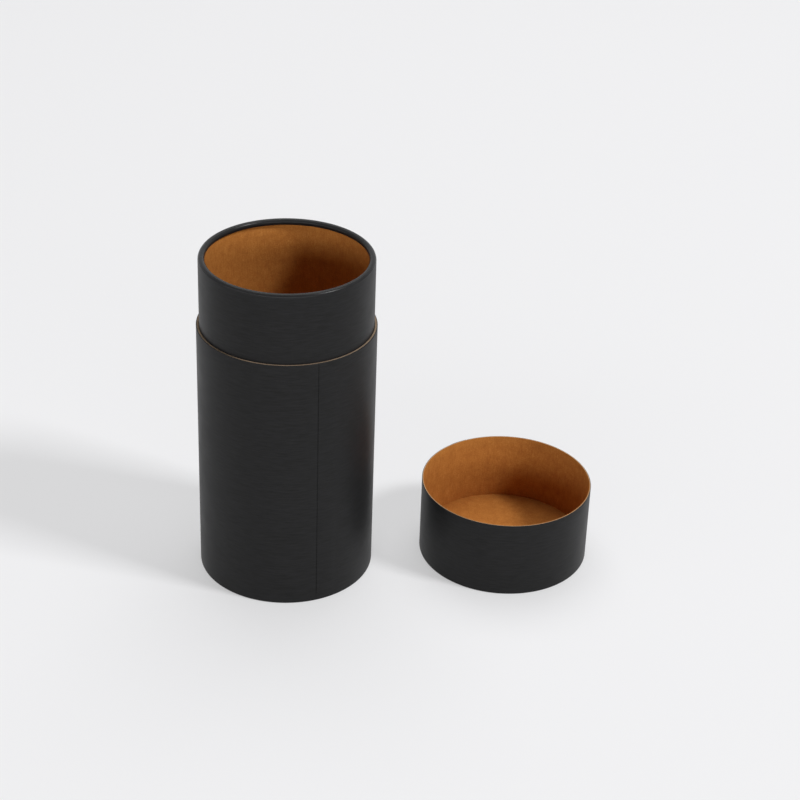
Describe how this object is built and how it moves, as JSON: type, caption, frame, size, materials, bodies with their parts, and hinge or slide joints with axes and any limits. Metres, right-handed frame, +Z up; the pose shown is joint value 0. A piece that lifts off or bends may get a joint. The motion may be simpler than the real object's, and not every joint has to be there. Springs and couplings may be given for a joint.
{
  "type": "cylindrical gift tube box",
  "caption": "Tall round paperboard gift tube: a papered sleeve, a lined neck with a curled rim, and a slip lid that stands upside down beside it.",
  "frame": {"origin": "centre of the tube's foot, on the tube's axis, at the level that the tube stands on", "axes": "+Z up the tube; +X towards the side where the lid stands"},
  "size_m": [0.2042, 0.1038, 0.1757],
  "materials": {
    "black_paper": "black coated paper with a soft sheen",
    "kraft_paper": "matt brown kraft paper",
    "tube_board": "cut edge of wound brown board"
  },
  "bodies": {
    "tube": {"sleeve_board": "tube_board", "sleeve_wrap": "black_paper", "base_cover": "black_paper", "base_disc": "tube_board", "base_lining": "kraft_paper", "neck_board": "tube_board", "neck_wrap": "black_paper", "neck_liner": "kraft_paper"},
    "lid": {"lid_board": "tube_board", "lid_wrap": "black_paper", "lid_disc_cover": "black_paper", "lid_disc": "tube_board", "lid_disc_lining": "kraft_paper", "lid_liner": "kraft_paper"}
  },
  "joints": [
    {"name": "lid_lift", "type": "slide", "parent": "tube", "child": "lid", "axis": [0, 0, 1], "range_m": [0, 0.18]}
  ]
}
